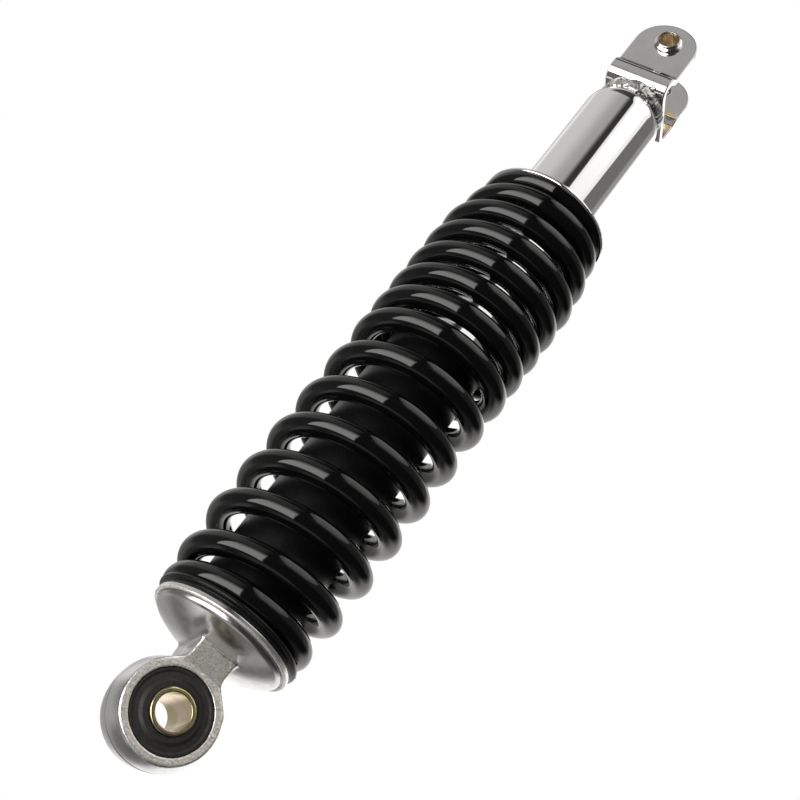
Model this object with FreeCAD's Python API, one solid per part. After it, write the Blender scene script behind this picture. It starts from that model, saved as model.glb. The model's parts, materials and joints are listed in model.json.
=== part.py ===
"""Rear shock absorber of a small scooter, as an assembly of separate solids.

Millimetres. The origin is the centre of the upper eye's bore. +Z runs up along the shock,
so everything hangs below the eye, and +Y runs along the lower clevis bolt.
"""
import FreeCAD, Part
import math
import os

from FreeCAD import Vector

os.makedirs("parts", exist_ok=True)

# ---------------------------------------------------------------- driving dimensions
HOLE_TO_HOLE = 290.0          # eye bore to clevis bore
EYE_YAW = 35.6                # degrees from the clevis bolt axis to the eye bore axis
STROKE = 50.0                 # damper travel

SLEEVE_BORE_R = 5.1
SLEEVE_R = 6.5
SLEEVE_LENGTH = 20.5
BUSH_R = 12.0
BUSH_HALF = 8.3
EYE_FACE_R = 13.9
EYE_MID_R = 15.7
EYE_HALF = 8.8
RUNNING_GAP = 0.05            # radial clearance of every running fit

RIM_R = 22.3
RIM_BOTTOM = -28.0            # underside of the flange
RIM_HEIGHT = 1.8
DOME_R = 21.0
DOME_TOP = -19.4
NECK_HALF = 6.14
NECK_FOOT_DEPTH = 10.0        # half the neck's depth where it meets the dome
ROD_HOLE_TOP = -17.6

WIRE_R = 3.75
SPRING_MEAN_R = 22.05
SPRING_TOP = -30.75
SPRING_BOTTOM = -203.4
SPRING_TURNS = 15.0
TIP_ANGLE = 520.0             # direction of the upper wire tip, degrees about +Z
CLOSED_PITCH = 7.6
OPEN_PITCH = 15.1
TIGHT_PITCH = 10.15
TIP_THICKNESS = 1.6           # what grinding leaves of the wire at each tip
TOP_TAPER = (2.6, 2.5)        # turns over which the wire is drawn in, and by how much
BOTTOM_TAPER = (3.1, 4.0)
ISOLATOR_LIP_R = 23.2

COVER_R = 15.4
COVER_WALL = 1.4
COVER_BOTTOM = -143.0
COVER_TOP_PLATE = 1.5

ROD_R = 5.0
ROD_TOP = -18.0
ROD_THREAD_LENGTH = 7.0       # below the cover's plate
ROD_CLEARANCE = 0.2           # round the rod, in parts that only surround it
BUMP_STOP_R = 11.0
TUBE_R = 13.56
TUBE_WALL = 1.36
TUBE_TOP = -115.0
TUBE_SHOULDER = -254.8        # where the straight tube starts to round in
TUBE_BOTTOM = -261.2
TUBE_FOOT_R = 11.0
PRESSURE_R = 11.0
PRESSURE_BORE_R = 10.0
SLIP = 0.05                   # clearance of a part that drops into a bore

SEAT_R = 22.0
SEAT_BOTTOM = -206.0
RING_GROOVE = 1.4             # height and depth of the groove for the seat's ring
RING_DEPTH = 0.45
RETAINER_R = 15.4
RETAINER_GAP = 3.0

EAR_HALF_WIDTH = 11.0
EAR_THICKNESS = 2.6
EAR_OFFSET = 0.4              # the ears' centre line, sideways from the bores
NEAR_FACE = -8.3              # outer face of the ear that holds the collar
NEAR_ROOT = -10.8             # the same face above its joggle
FAR_INNER = 13.5              # inner face of the other ear
FAR_STEP = 0.8                # how far that face steps outwards above its joggle
NEAR_TIP_CENTRE = 1.8         # centre of each rounded tip, above the bores
FAR_TIP_CENTRE = 4.4
BASE_TOP = 24.0               # upper face of the clevis base, above the bores
CLEVIS_BORE_R = 3.1           # in the collar's bush
THREAD_R = 2.55               # minor radius of the thread in the far ear and its nut
COLLAR_RIM_FACE = -10.5
COLLAR_RIM_R = 3.8
COLLAR_FOOT_R = 4.97
COLLAR_BORE_R = 3.5
COLLAR_SPIGOT_R = 4.6
BUSH_BOSS_R = 5.6             # the bush's boss, inside the clevis
BUSH_HIGH = -10.1
BUSH_LOW = -0.9
NUT_FLATS = 10.0              # weld nut on the far ear's outer face
NUT_HEIGHT = 5.0

BORE_Z = -HOLE_TO_HOLE
BASE_HIGH = BORE_Z + BASE_TOP

MADE = []


# ---------------------------------------------------------------- helpers
def save(name, shape):
    """Write one node as a closed solid."""
    shape = shape.removeSplitter()
    if not shape.isValid():
        raise ValueError(name + " is not valid")
    shape.exportStep(os.path.join("parts", name + ".step"))
    MADE.append((name, len(shape.Solids), shape.Volume))


def disc(radius, low, high):
    return Part.makeCylinder(radius, high - low, Vector(0, 0, low))


def ring(outer, inner, low, high):
    return disc(outer, low, high).cut(disc(inner, low, high))


def turned(edges):
    """Revolve a closed outline, drawn as X = radius and Z = height, about Z."""
    face = Part.Face(Part.Wire(edges))
    return face.revolve(Vector(0, 0, 0), Vector(0, 0, 1), 360)


def outline(*points):
    """Closed straight-sided outline in the XZ plane."""
    corners = [Vector(x, 0, z) for x, z in points]
    return Part.makePolygon(corners + corners[:1]).Edges


def line(a, b):
    return Part.LineSegment(Vector(a[0], 0, a[1]), Vector(b[0], 0, b[1])).toShape()


def arc(a, mid, b):
    points = [Vector(p[0], 0, p[1]) for p in (a, mid, b)]
    return Part.Arc(*points).toShape()


def along_eye(shape):
    """Turn a shape whose bore lies on +Y so that it lies on the eye's bore axis."""
    turned_shape = shape.copy()
    turned_shape.rotate(Vector(0, 0, 0), Vector(0, 0, 1), -EYE_YAW)
    return turned_shape


def bore_disc(radius, low, high):
    """Cylinder on the Y axis through the origin."""
    return Part.makeCylinder(radius, high - low, Vector(0, low, 0), Vector(0, 1, 0))


def hexagon(across_flats, low, high):
    radius = across_flats / math.sqrt(3)
    corners = [Vector(radius * math.cos(math.radians(60 * k)),
                      radius * math.sin(math.radians(60 * k)), low) for k in range(7)]
    return Part.Face(Part.makePolygon(corners)).extrude(Vector(0, 0, high - low))


# ---------------------------------------------------------------- upper eye
def eye_sleeve():
    half = SLEEVE_LENGTH / 2
    chamfer = 0.5
    tube = bore_disc(SLEEVE_R, -half, half).cut(bore_disc(SLEEVE_BORE_R, -half, half))
    rims = [e for e in tube.Edges
            if abs(abs(e.CenterOfMass.y) - half) < 1e-6 and abs(e.Curve.Radius - SLEEVE_R) < 1e-6]
    return along_eye(tube.makeChamfer(chamfer, rims))


def eye_bush():
    """Rubber bush with a raised lip round the sleeve at each face."""
    lip_width = 2.2
    lip_rise = 0.7
    lip_r = SLEEVE_R + lip_width
    body = bore_disc(BUSH_R, -BUSH_HALF, BUSH_HALF)
    lip = bore_disc(lip_r, -BUSH_HALF - lip_rise, BUSH_HALF + lip_rise)
    hole = bore_disc(SLEEVE_R + RUNNING_GAP, -EYE_HALF * 2, EYE_HALF * 2)
    return along_eye(body.fuse(lip).cut(hole))


def eye_barrel():
    """Outside of the eye: widest at its middle, drafted to each face, with a rounded edge."""
    edge = 1.0
    edge_drop = 0.8
    shoulder_r = EYE_FACE_R + edge_drop
    edges = outline((0, -EYE_HALF), (EYE_FACE_R, -EYE_HALF), (shoulder_r, -EYE_HALF + edge),
                    (EYE_MID_R, 0), (shoulder_r, EYE_HALF - edge), (EYE_FACE_R, EYE_HALF),
                    (0, EYE_HALF))
    barrel = turned(edges)
    barrel.rotate(Vector(0, 0, 0), Vector(1, 0, 0), -90)
    return barrel


def eye_neck():
    """Neck between eye and flange: flared sideways into the eye, deeper towards its foot."""
    buried = 3.0              # how far the foot stays above the flange's underside
    foot = RIM_BOTTOM + buried
    flare_start = (NECK_HALF, -16.0)
    flare_mid = (8.0, -12.4)
    flare_end = (12.2, -8.0)
    sides = []
    for sign in (1, -1):
        start, mid, end = [(sign * x, z) for x, z in (flare_start, flare_mid, flare_end)]
        sides.append(line((start[0], foot), start))
        sides.append(arc(start, mid, end))
    ends = [line((-NECK_HALF, foot), (NECK_HALF, foot)),
            line((-flare_end[0], flare_end[1]), flare_end)]
    face = Part.Face(Part.Wire(Part.__sortEdges__(sides + ends)))
    face.translate(Vector(0, -NECK_FOOT_DEPTH, 0))
    flared = face.extrude(Vector(0, 2 * NECK_FOOT_DEPTH, 0))
    taper_high = -13.0
    taper_low = -20.6
    side_view = [(EYE_HALF, flare_end[1]), (EYE_HALF, taper_high), (NECK_FOOT_DEPTH, taper_low),
                 (NECK_FOOT_DEPTH, foot)]
    corners = [Vector(-flare_end[0], y, z) for y, z in side_view]
    corners += [Vector(-flare_end[0], -y, z) for y, z in reversed(side_view)]
    tapered = Part.Face(Part.makePolygon(corners + corners[:1]))
    return flared.common(tapered.extrude(Vector(2 * flare_end[0], 0, 0)))


def flange():
    """Domed flange with a short cylindrical rim and a groove above it."""
    chamfer = 0.5
    groove_width = 0.3
    groove_depth = 0.6
    dome_mid = (12.0, -21.2)
    rim_top = RIM_BOTTOM + RIM_HEIGHT
    groove_r = DOME_R - groove_width
    dome_foot = rim_top + groove_depth
    edges = [line((0, RIM_BOTTOM), (RIM_R, RIM_BOTTOM)),
             line((RIM_R, RIM_BOTTOM), (RIM_R, rim_top - chamfer)),
             line((RIM_R, rim_top - chamfer), (RIM_R - chamfer, rim_top)),
             line((RIM_R - chamfer, rim_top), (groove_r, rim_top)),
             line((groove_r, rim_top), (DOME_R, dome_foot)),
             arc((DOME_R, dome_foot), dome_mid, (0, DOME_TOP)),
             line((0, DOME_TOP), (0, RIM_BOTTOM))]
    return turned(edges)


def upper_mount_casting():
    body = along_eye(eye_barrel().fuse(eye_neck())).fuse(flange())
    body = body.cut(along_eye(bore_disc(BUSH_R, -EYE_HALF * 2, EYE_HALF * 2)))
    return body.cut(disc(ROD_R, RIM_BOTTOM - 1, ROD_HOLE_TOP))


# ---------------------------------------------------------------- top stack, on the rod
COVER_PLATE_LOW = RIM_BOTTOM - COVER_TOP_PLATE
LOCK_NUT_HEIGHT = 6.0
LOCK_NUT_FLATS = 17.0
WASHER_THICKNESS = 1.5
BUMP_SPARE = 2.0              # between the bump stop and the tube, fully closed
NUT_LOW = COVER_PLATE_LOW - LOCK_NUT_HEIGHT
WASHER_LOW = NUT_LOW - WASHER_THICKNESS
BUMP_LOW = TUBE_TOP + STROKE + BUMP_SPARE


def dust_cover():
    """Cup clamped under the flange by the lock nut, open at its lower end."""
    wall = ring(COVER_R, COVER_R - COVER_WALL, COVER_BOTTOM, RIM_BOTTOM)
    plate = ring(COVER_R, ROD_R + ROD_CLEARANCE, COVER_PLATE_LOW, RIM_BOTTOM)
    return wall.fuse(plate)


def spring_isolator():
    """Ring between flange and spring, with a lip that stands out past the flange's rim."""
    lip_height = 1.0
    slope = 0.6
    low = SPRING_TOP + SLIP
    inner = COVER_R + 2 * SLIP
    neck_r = RIM_R - 0.5
    return turned(outline((inner, low), (ISOLATOR_LIP_R, low),
                          (ISOLATOR_LIP_R, low + lip_height),
                          (neck_r, low + lip_height + slope), (neck_r, RIM_BOTTOM),
                          (inner, RIM_BOTTOM)))


def rod_lock_nut():
    whole = hexagon(LOCK_NUT_FLATS, NUT_LOW, COVER_PLATE_LOW)
    return whole.cut(disc(ROD_R, NUT_LOW, COVER_PLATE_LOW))


def bump_stop():
    """Rubber stop with two waists and a narrow nose."""
    bore = ROD_R + ROD_CLEARANCE
    upper_waist_r = 9.0
    belly_r = 10.5
    lower_waist_r = 8.5
    nose_r = 7.8
    step = (WASHER_LOW - BUMP_LOW) / 4
    edges = outline((bore, WASHER_LOW), (BUMP_STOP_R, WASHER_LOW),
                    (BUMP_STOP_R, WASHER_LOW - step), (upper_waist_r, WASHER_LOW - 1.4 * step),
                    (belly_r, WASHER_LOW - 1.8 * step), (belly_r, WASHER_LOW - 2.6 * step),
                    (lower_waist_r, WASHER_LOW - 3 * step), (nose_r, BUMP_LOW),
                    (bore, BUMP_LOW))
    return turned(edges)


# ---------------------------------------------------------------- spring
def taper(distance, length, depth):
    """How far the wire is drawn in at a distance, in turns, from its tip."""
    if distance >= length:
        return 0.0
    return depth * math.sin(math.pi / 2 * (length - distance) / length) ** 2


def pitch(turn):
    """Pitch of the wire at a number of turns below the upper tip."""
    steps = ((0.0, CLOSED_PITCH), (1.0, CLOSED_PITCH), (1.5, OPEN_PITCH), (7.25, OPEN_PITCH),
             (7.75, TIGHT_PITCH), (13.9, TIGHT_PITCH), (14.1, CLOSED_PITCH),
             (SPRING_TURNS, CLOSED_PITCH))
    for (start, before), (end, after) in zip(steps, steps[1:]):
        if turn <= end:
            return before + (after - before) * (turn - start) / (end - start)
    return CLOSED_PITCH


def spring_line(per_turn=16):
    """Points along the middle of the wire, from the upper tip down."""
    count = int(SPRING_TURNS * per_turn)
    step = 1.0 / per_turn
    heights = [0.0]
    for k in range(count):
        heights.append(heights[-1] - pitch((k + 0.5) * step) * step)
    # each tip keeps TIP_THICKNESS of the wire, so the line starts above the ground face
    top = SPRING_TOP - TIP_THICKNESS + WIRE_R
    bottom = SPRING_BOTTOM + TIP_THICKNESS - WIRE_R
    stretch = (top - bottom) / -heights[-1]
    points = []
    for k, fall in enumerate(heights):
        turn = k * step
        drawn_in = taper(turn, *TOP_TAPER) + taper(SPRING_TURNS - turn, *BOTTOM_TAPER)
        radius = SPRING_MEAN_R - drawn_in
        angle = math.radians(TIP_ANGLE - 360.0 * turn)
        points.append(Vector(radius * math.cos(angle), radius * math.sin(angle),
                             top + fall * stretch))
    return points


def coil_spring():
    """The wire swept along its line, with both ends ground flat."""
    points = spring_line()
    curve = Part.BSplineCurve()
    curve.interpolate(points)
    spine = Part.Wire(curve.toShape())
    start = curve.tangent(curve.FirstParameter)[0]
    section = Part.Wire(Part.makeCircle(WIRE_R, points[0], start))
    sweep = Part.BRepOffsetAPI.MakePipeShell(spine)
    sweep.setFrenetMode(True)
    sweep.add(section)
    sweep.build()
    sweep.makeSolid()
    wire = sweep.shape()
    reach = 3 * SPRING_MEAN_R
    depth = 4 * WIRE_R
    for low in (SPRING_TOP, SPRING_BOTTOM - depth):
        grinder = Part.makeBox(reach, reach, depth, Vector(-reach / 2, -reach / 2, low))
        wire = wire.cut(grinder)
    return wire


# ---------------------------------------------------------------- rod and piston
TUBE_LIP = 1.2                # thickness of the lip rolled over at the tube's top
CAP_HEIGHT = 2.0
WIPER_HEIGHT = 3.0
SEAL_HEIGHT = 5.2
GUIDE_LENGTH = 11.0
GUIDE_SPIGOT = 4.0            # how much of the guide enters the pressure tube
STOP_SPARE = 0.3              # between guide and rebound stop, fully open
STOP_HEIGHT = 6.0
STOP_R = 8.5
PISTON_HEIGHT = 10.0
PISTON_RING_R = 8.4           # floor of the piston's groove
PISTON_RING_HALF = 2.0
PISTON_NUT_FLATS = 12.0
PISTON_NUT_HEIGHT = 5.0
SPIGOT_R = 4.0
SHIM_STACK = 1.0
SHIM_COUNT = 4
SHIM_R = 7.8
SHIM_STEP = 0.8               # how much smaller each disc is than the last
PASSAGES = 6

CAP_HIGH = TUBE_TOP - TUBE_LIP
WIPER_HIGH = CAP_HIGH - CAP_HEIGHT
SEAL_HIGH = WIPER_HIGH - WIPER_HEIGHT
GUIDE_HIGH = SEAL_HIGH - SEAL_HEIGHT
GUIDE_LOW = GUIDE_HIGH - GUIDE_LENGTH
PRESSURE_HIGH = GUIDE_LOW + GUIDE_SPIGOT
STOP_HIGH = GUIDE_LOW - STOP_SPARE
PISTON_HIGH = STOP_HIGH - STOP_HEIGHT
PISTON_LOW = PISTON_HIGH - PISTON_HEIGHT
SHIM_LOW = PISTON_LOW - SHIM_STACK
PISTON_NUT_LOW = SHIM_LOW - PISTON_NUT_HEIGHT
PISTON_MIDDLE = (PISTON_LOW + PISTON_HIGH) / 2


def passages(circle_r, passage_r, low, high):
    """Oil passages, evenly spaced round the axis and longer than what they pierce."""
    holes = []
    for k in range(PASSAGES):
        turn = 2 * math.pi * k / PASSAGES
        place = Vector(circle_r * math.cos(turn), circle_r * math.sin(turn), low - 1)
        holes.append(Part.makeCylinder(passage_r, high - low + 2, place))
    return Part.makeCompound(holes)


def piston_rod():
    thread_low = COVER_PLATE_LOW - ROD_THREAD_LENGTH
    thread = disc(ROD_R - SLIP, thread_low, ROD_TOP)
    shank = disc(ROD_R, PISTON_HIGH, thread_low)
    spigot = disc(SPIGOT_R - SLIP, PISTON_NUT_LOW - 1.0, PISTON_HIGH)
    return thread.fuse(shank).fuse(spigot)


def piston():
    """Piston with oil passages and a groove for its ring."""
    land_gap = 0.4
    circle_r = 6.2
    passage_r = 0.9
    body = ring(PRESSURE_BORE_R - land_gap, SPIGOT_R, PISTON_LOW, PISTON_HIGH)
    groove = ring(PRESSURE_BORE_R, PISTON_RING_R, PISTON_MIDDLE - PISTON_RING_HALF,
                  PISTON_MIDDLE + PISTON_RING_HALF)
    return body.cut(groove).cut(passages(circle_r, passage_r, PISTON_LOW, PISTON_HIGH))


def piston_ring():
    half = PISTON_RING_HALF - SLIP
    return ring(PRESSURE_BORE_R - RUNNING_GAP, PISTON_RING_R + SLIP, PISTON_MIDDLE - half,
                PISTON_MIDDLE + half)


def piston_nut():
    whole = hexagon(PISTON_NUT_FLATS, PISTON_NUT_LOW, SHIM_LOW)
    return whole.cut(disc(SPIGOT_R, PISTON_NUT_LOW, SHIM_LOW))


def shim_stack(inner, top):
    """Thin discs that get smaller downwards."""
    thickness = SHIM_STACK / SHIM_COUNT
    stack = ring(SHIM_R, inner, top - thickness, top)
    for k in range(1, SHIM_COUNT):
        low = top - (k + 1) * thickness
        stack = stack.fuse(ring(SHIM_R - SHIM_STEP * k, inner, low, low + thickness))
    return stack


# ---------------------------------------------------------------- damper
def foot_arc(offset):
    """The tube's spun foot, drawn this far inside its outer face, from the shoulder down."""
    turned_in = 0.8
    fallen = 3.9
    return arc((TUBE_R - offset, TUBE_SHOULDER),
               (TUBE_R - turned_in - offset, TUBE_SHOULDER - fallen),
               (TUBE_FOOT_R - offset, TUBE_BOTTOM))


def damper_tube():
    """Outer tube, rolled over at its top and spun in to a rounded shoulder at its foot."""
    inner = TUBE_R - TUBE_WALL
    lip_r = 11.0
    rim = 0.6
    groove_low = SEAT_BOTTOM - RING_GROOVE
    groove_r = TUBE_R - RING_DEPTH
    edges = [line((lip_r, TUBE_TOP), (TUBE_R - rim, TUBE_TOP)),
             line((TUBE_R - rim, TUBE_TOP), (TUBE_R, TUBE_TOP - rim)),
             line((TUBE_R, TUBE_TOP - rim), (TUBE_R, SEAT_BOTTOM)),
             line((TUBE_R, SEAT_BOTTOM), (groove_r, SEAT_BOTTOM)),
             line((groove_r, SEAT_BOTTOM), (groove_r, groove_low)),
             line((groove_r, groove_low), (TUBE_R, groove_low)),
             line((TUBE_R, groove_low), (TUBE_R, TUBE_SHOULDER)),
             foot_arc(0.0),
             line((TUBE_FOOT_R, TUBE_BOTTOM), (TUBE_FOOT_R - TUBE_WALL, TUBE_BOTTOM)),
             foot_arc(TUBE_WALL),
             line((inner, TUBE_SHOULDER), (inner, CAP_HIGH)),
             line((inner, CAP_HIGH), (lip_r, CAP_HIGH)),
             line((lip_r, CAP_HIGH), (lip_r, TUBE_TOP))]
    return turned(edges)


INSIDE_R = TUBE_R - TUBE_WALL - SLIP
GUIDE_BUSH_WALL = 1.2
BASE_CAP_RIM = 6.5            # rim of the base cap above the tube's shoulder
FOOT_VALVE_FLANGE = 3.0
FOOT_VALVE_BODY = 8.0
FOOT_VALVE_LOW = TUBE_SHOULDER + BASE_CAP_RIM
FOOT_VALVE_SEAT = FOOT_VALVE_LOW + FOOT_VALVE_FLANGE
FOOT_VALVE_HIGH = FOOT_VALVE_SEAT + FOOT_VALVE_BODY
FOOT_SHIM_HIGH = FOOT_VALVE_HIGH + SHIM_STACK
FOOT_BOLT_R = 3.0
BOSS_R = TUBE_FOOT_R - TUBE_WALL - 0.3


def rod_seal():
    """Oil seal: a rubber ring with a lip towards the oil."""
    lip_r = ROD_R + RUNNING_GAP
    lead = 1.5
    upper_r = lip_r + 1.2
    lower_r = lip_r + 2.4
    lip_back_r = lip_r + 1.4
    return turned(outline((lip_r, SEAL_HIGH - lead), (upper_r, SEAL_HIGH), (INSIDE_R, SEAL_HIGH),
                          (INSIDE_R, GUIDE_HIGH), (lower_r, GUIDE_HIGH),
                          (lip_back_r, GUIDE_HIGH + lead), (lip_r, GUIDE_HIGH + lead)))


def rod_guide():
    bush_r = ROD_R + GUIDE_BUSH_WALL
    body = ring(INSIDE_R, bush_r, PRESSURE_HIGH, GUIDE_HIGH)
    spigot = ring(PRESSURE_BORE_R - SLIP, bush_r, GUIDE_LOW, PRESSURE_HIGH)
    return body.fuse(spigot)


def foot_valve_body():
    """Valve plate at the foot of the pressure tube, with oil passages."""
    circle_r = 6.4
    passage_r = 1.1
    body = ring(PRESSURE_BORE_R - SLIP, FOOT_BOLT_R, FOOT_VALVE_SEAT, FOOT_VALVE_HIGH)
    body = body.fuse(ring(INSIDE_R, FOOT_BOLT_R, FOOT_VALVE_LOW, FOOT_VALVE_SEAT))
    return body.cut(passages(circle_r, passage_r, FOOT_VALVE_LOW, FOOT_VALVE_HIGH))


def foot_valve_bolt():
    across_flats = 9.0
    head_height = 3.0
    stub = 1.0
    shank = disc(FOOT_BOLT_R - SLIP, FOOT_VALVE_LOW - stub, FOOT_SHIM_HIGH)
    return shank.fuse(hexagon(across_flats, FOOT_SHIM_HIGH, FOOT_SHIM_HIGH + head_height))


def base_cap():
    """Closure at the foot of the tube. Its boss stands on the clevis through the tube's end."""
    rest = FOOT_VALVE_LOW
    dish_r = 9.0
    dish_floor_r = 7.0
    dish_floor = rest - 2.5
    cone_low = TUBE_SHOULDER - 2.0
    chamfer = 0.6
    return turned(outline((0, BASE_HIGH), (BOSS_R, BASE_HIGH), (BOSS_R, cone_low),
                          (INSIDE_R - chamfer, TUBE_SHOULDER),
                          (INSIDE_R, TUBE_SHOULDER + chamfer), (INSIDE_R, rest),
                          (dish_r, rest), (dish_floor_r, dish_floor), (0, dish_floor)))


def lower_spring_seat():
    """Pressed ring with a rolled outer edge."""
    inner = TUBE_R + SLIP
    foot_r = 20.2
    roll_mid = (21.5, SEAT_BOTTOM + 0.7)
    roll_top = SPRING_BOTTOM - 0.8
    lip_r = SEAT_R - 0.6
    edges = [line((inner, SEAT_BOTTOM), (foot_r, SEAT_BOTTOM)),
             arc((foot_r, SEAT_BOTTOM), roll_mid, (SEAT_R, roll_top)),
             line((SEAT_R, roll_top), (lip_r, SPRING_BOTTOM)),
             line((lip_r, SPRING_BOTTOM), (inner, SPRING_BOTTOM)),
             line((inner, SPRING_BOTTOM), (inner, SEAT_BOTTOM))]
    return turned(edges)


def seat_retaining_ring():
    """Split ring in the tube's groove, under the seat."""
    low = SEAT_BOTTOM - RING_GROOVE + SLIP
    whole = ring(RETAINER_R, TUBE_R - RING_DEPTH + SLIP, low, SEAT_BOTTOM)
    gap = Part.makeBox(2 * RETAINER_R, RETAINER_GAP, 3 * RING_GROOVE,
                       Vector(0, -RETAINER_GAP / 2, low - RING_GROOVE))
    return whole.cut(gap)


# ---------------------------------------------------------------- clevis
BEND_R = 4.6                  # outside radius of the bends into the base
BOLT_REACH = 12.0             # length of a cut that passes right through a bush


def strip(points):
    """Bent strip: its outer line in the YZ plane, thickened inwards and given its width."""
    corners = [Vector(0, y, z) for y, z in points]
    face = Part.Face(Part.makePolygon(corners + corners[:1]))
    face.translate(Vector(EAR_OFFSET - EAR_HALF_WIDTH, 0, 0))
    return face.extrude(Vector(2 * EAR_HALF_WIDTH, 0, 0))


def rounded_tip(face_low, face_high, centre_z):
    """What an ear keeps: a half round at its tip and straight sides above it."""
    depth = face_high - face_low
    centre = Vector(EAR_OFFSET, face_low, centre_z)
    round_end = Part.makeCylinder(EAR_HALF_WIDTH, depth, centre, Vector(0, 1, 0))
    corner = Vector(EAR_OFFSET - EAR_HALF_WIDTH, face_low, centre_z)
    return round_end.fuse(Part.makeBox(2 * EAR_HALF_WIDTH, depth, 2 * BASE_TOP, corner))


def cross_bore(radius, face, length):
    """Cylinder on the clevis bolt's axis, from a face towards +Y."""
    return Part.makeCylinder(radius, length, Vector(0, face, BORE_Z), Vector(0, 1, 0))


def clevis_bracket():
    """U of pressed strip. Each ear steps towards the other through a joggle above its bore."""
    t = EAR_THICKNESS
    lag = 0.9                 # how far the inner line of a joggle lags its outer line
    far_face = FAR_INNER + t
    far_root = far_face + FAR_STEP
    low = BORE_Z - 2 * EAR_HALF_WIDTH
    joggle_low = BORE_Z + 14.6
    joggle_high = BORE_Z + 17.6
    far_joggle_low = BORE_Z + 10.4
    far_joggle_high = BORE_Z + 13.6
    inner_high = BASE_HIGH - t
    body = strip([(NEAR_FACE, low), (NEAR_FACE, joggle_low), (NEAR_ROOT, joggle_high),
                  (NEAR_ROOT, BASE_HIGH), (far_root, BASE_HIGH), (far_root, far_joggle_high),
                  (far_face, far_joggle_low), (far_face, low),
                  (FAR_INNER, low), (FAR_INNER, far_joggle_low),
                  (FAR_INNER + FAR_STEP, far_joggle_high), (FAR_INNER + FAR_STEP, inner_high),
                  (NEAR_ROOT + t, inner_high),
                  (NEAR_ROOT + t, joggle_high - lag), (NEAR_FACE + t, joggle_low - lag),
                  (NEAR_FACE + t, low)])
    outer = [e for e in body.Edges if abs(e.BoundBox.ZMin - BASE_HIGH) < 1e-6
             and e.BoundBox.XLength > EAR_HALF_WIDTH]
    body = body.makeFillet(BEND_R, outer)
    inner = [e for e in body.Edges if abs(e.BoundBox.ZMin - inner_high) < 1e-6
             and e.BoundBox.ZLength < 1e-6 and e.BoundBox.XLength > EAR_HALF_WIDTH]
    body = body.makeFillet(BEND_R - t, inner)
    middle = (NEAR_FACE + t + FAR_INNER) / 2
    keep = rounded_tip(NEAR_ROOT - 1, middle, BORE_Z + NEAR_TIP_CENTRE)
    keep = keep.fuse(rounded_tip(middle, far_root + 1, BORE_Z + FAR_TIP_CENTRE))
    body = body.common(keep)
    body = body.cut(cross_bore(COLLAR_SPIGOT_R, NEAR_FACE - 1, t + 2))
    return body.cut(cross_bore(THREAD_R, FAR_INNER - 1, t + 2))


def clevis_collar():
    """Raised collar on the near ear, with a coned side and a spigot through the ear."""
    shoulder = NEAR_FACE - 0.5
    cone = Part.makeCone(COLLAR_RIM_R, COLLAR_FOOT_R, shoulder - COLLAR_RIM_FACE,
                         Vector(0, COLLAR_RIM_FACE, BORE_Z), Vector(0, 1, 0))
    foot = cross_bore(COLLAR_FOOT_R, shoulder, NEAR_FACE - shoulder)
    spigot = cross_bore(COLLAR_SPIGOT_R - SLIP, NEAR_FACE, EAR_THICKNESS)
    bore = cross_bore(COLLAR_BORE_R, COLLAR_RIM_FACE - 1, BOLT_REACH)
    return cone.fuse(foot).fuse(spigot).cut(bore)


def collar_bush():
    """Bush inside the collar, with a boss inside the clevis."""
    inner_face = NEAR_FACE + EAR_THICKNESS
    sleeve = cross_bore(COLLAR_BORE_R - SLIP, BUSH_HIGH, BUSH_LOW - BUSH_HIGH)
    boss = cross_bore(BUSH_BOSS_R, inner_face, BUSH_LOW - inner_face)
    return sleeve.fuse(boss).cut(cross_bore(CLEVIS_BORE_R, BUSH_HIGH - 1, BOLT_REACH))


def clevis_weld_nut():
    """Hexagon nut on the far ear's outer face, with a flat at its top and at its bottom."""
    nut = hexagon(NUT_FLATS, 0, NUT_HEIGHT).cut(disc(THREAD_R, 0, NUT_HEIGHT))
    nut.rotate(Vector(0, 0, 0), Vector(1, 0, 0), -90)
    nut.translate(Vector(0, FAR_INNER + EAR_THICKNESS, BORE_Z))
    return nut


def clevis_weld_bead():
    """Weld run that fills the corner between the tube's foot, its boss and the clevis base."""
    overlap = 1.6             # how far the bead climbs the tube's foot
    root = 2.4                # how far it reaches down beside the base
    inner_r = 5.0
    low = BASE_HIGH - root
    low_r = 10.4
    belly = (12.1, BASE_HIGH + overlap)
    top = TUBE_BOTTOM + overlap
    top_r = 11.6
    bead = turned([line((inner_r, low), (low_r, low)),
                   arc((low_r, low), belly, (top_r, top)),
                   line((top_r, top), (inner_r, top)),
                   line((inner_r, top), (inner_r, low))])
    foot = turned([line((0, TUBE_BOTTOM), (TUBE_FOOT_R, TUBE_BOTTOM)), foot_arc(0.0),
                   line((TUBE_R, TUBE_SHOULDER), (0, TUBE_SHOULDER)),
                   line((0, TUBE_SHOULDER), (0, TUBE_BOTTOM))])
    boss = disc(BOSS_R, BASE_HIGH, TUBE_SHOULDER)
    return bead.cut(foot).cut(boss).cut(clevis_bracket())


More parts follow.
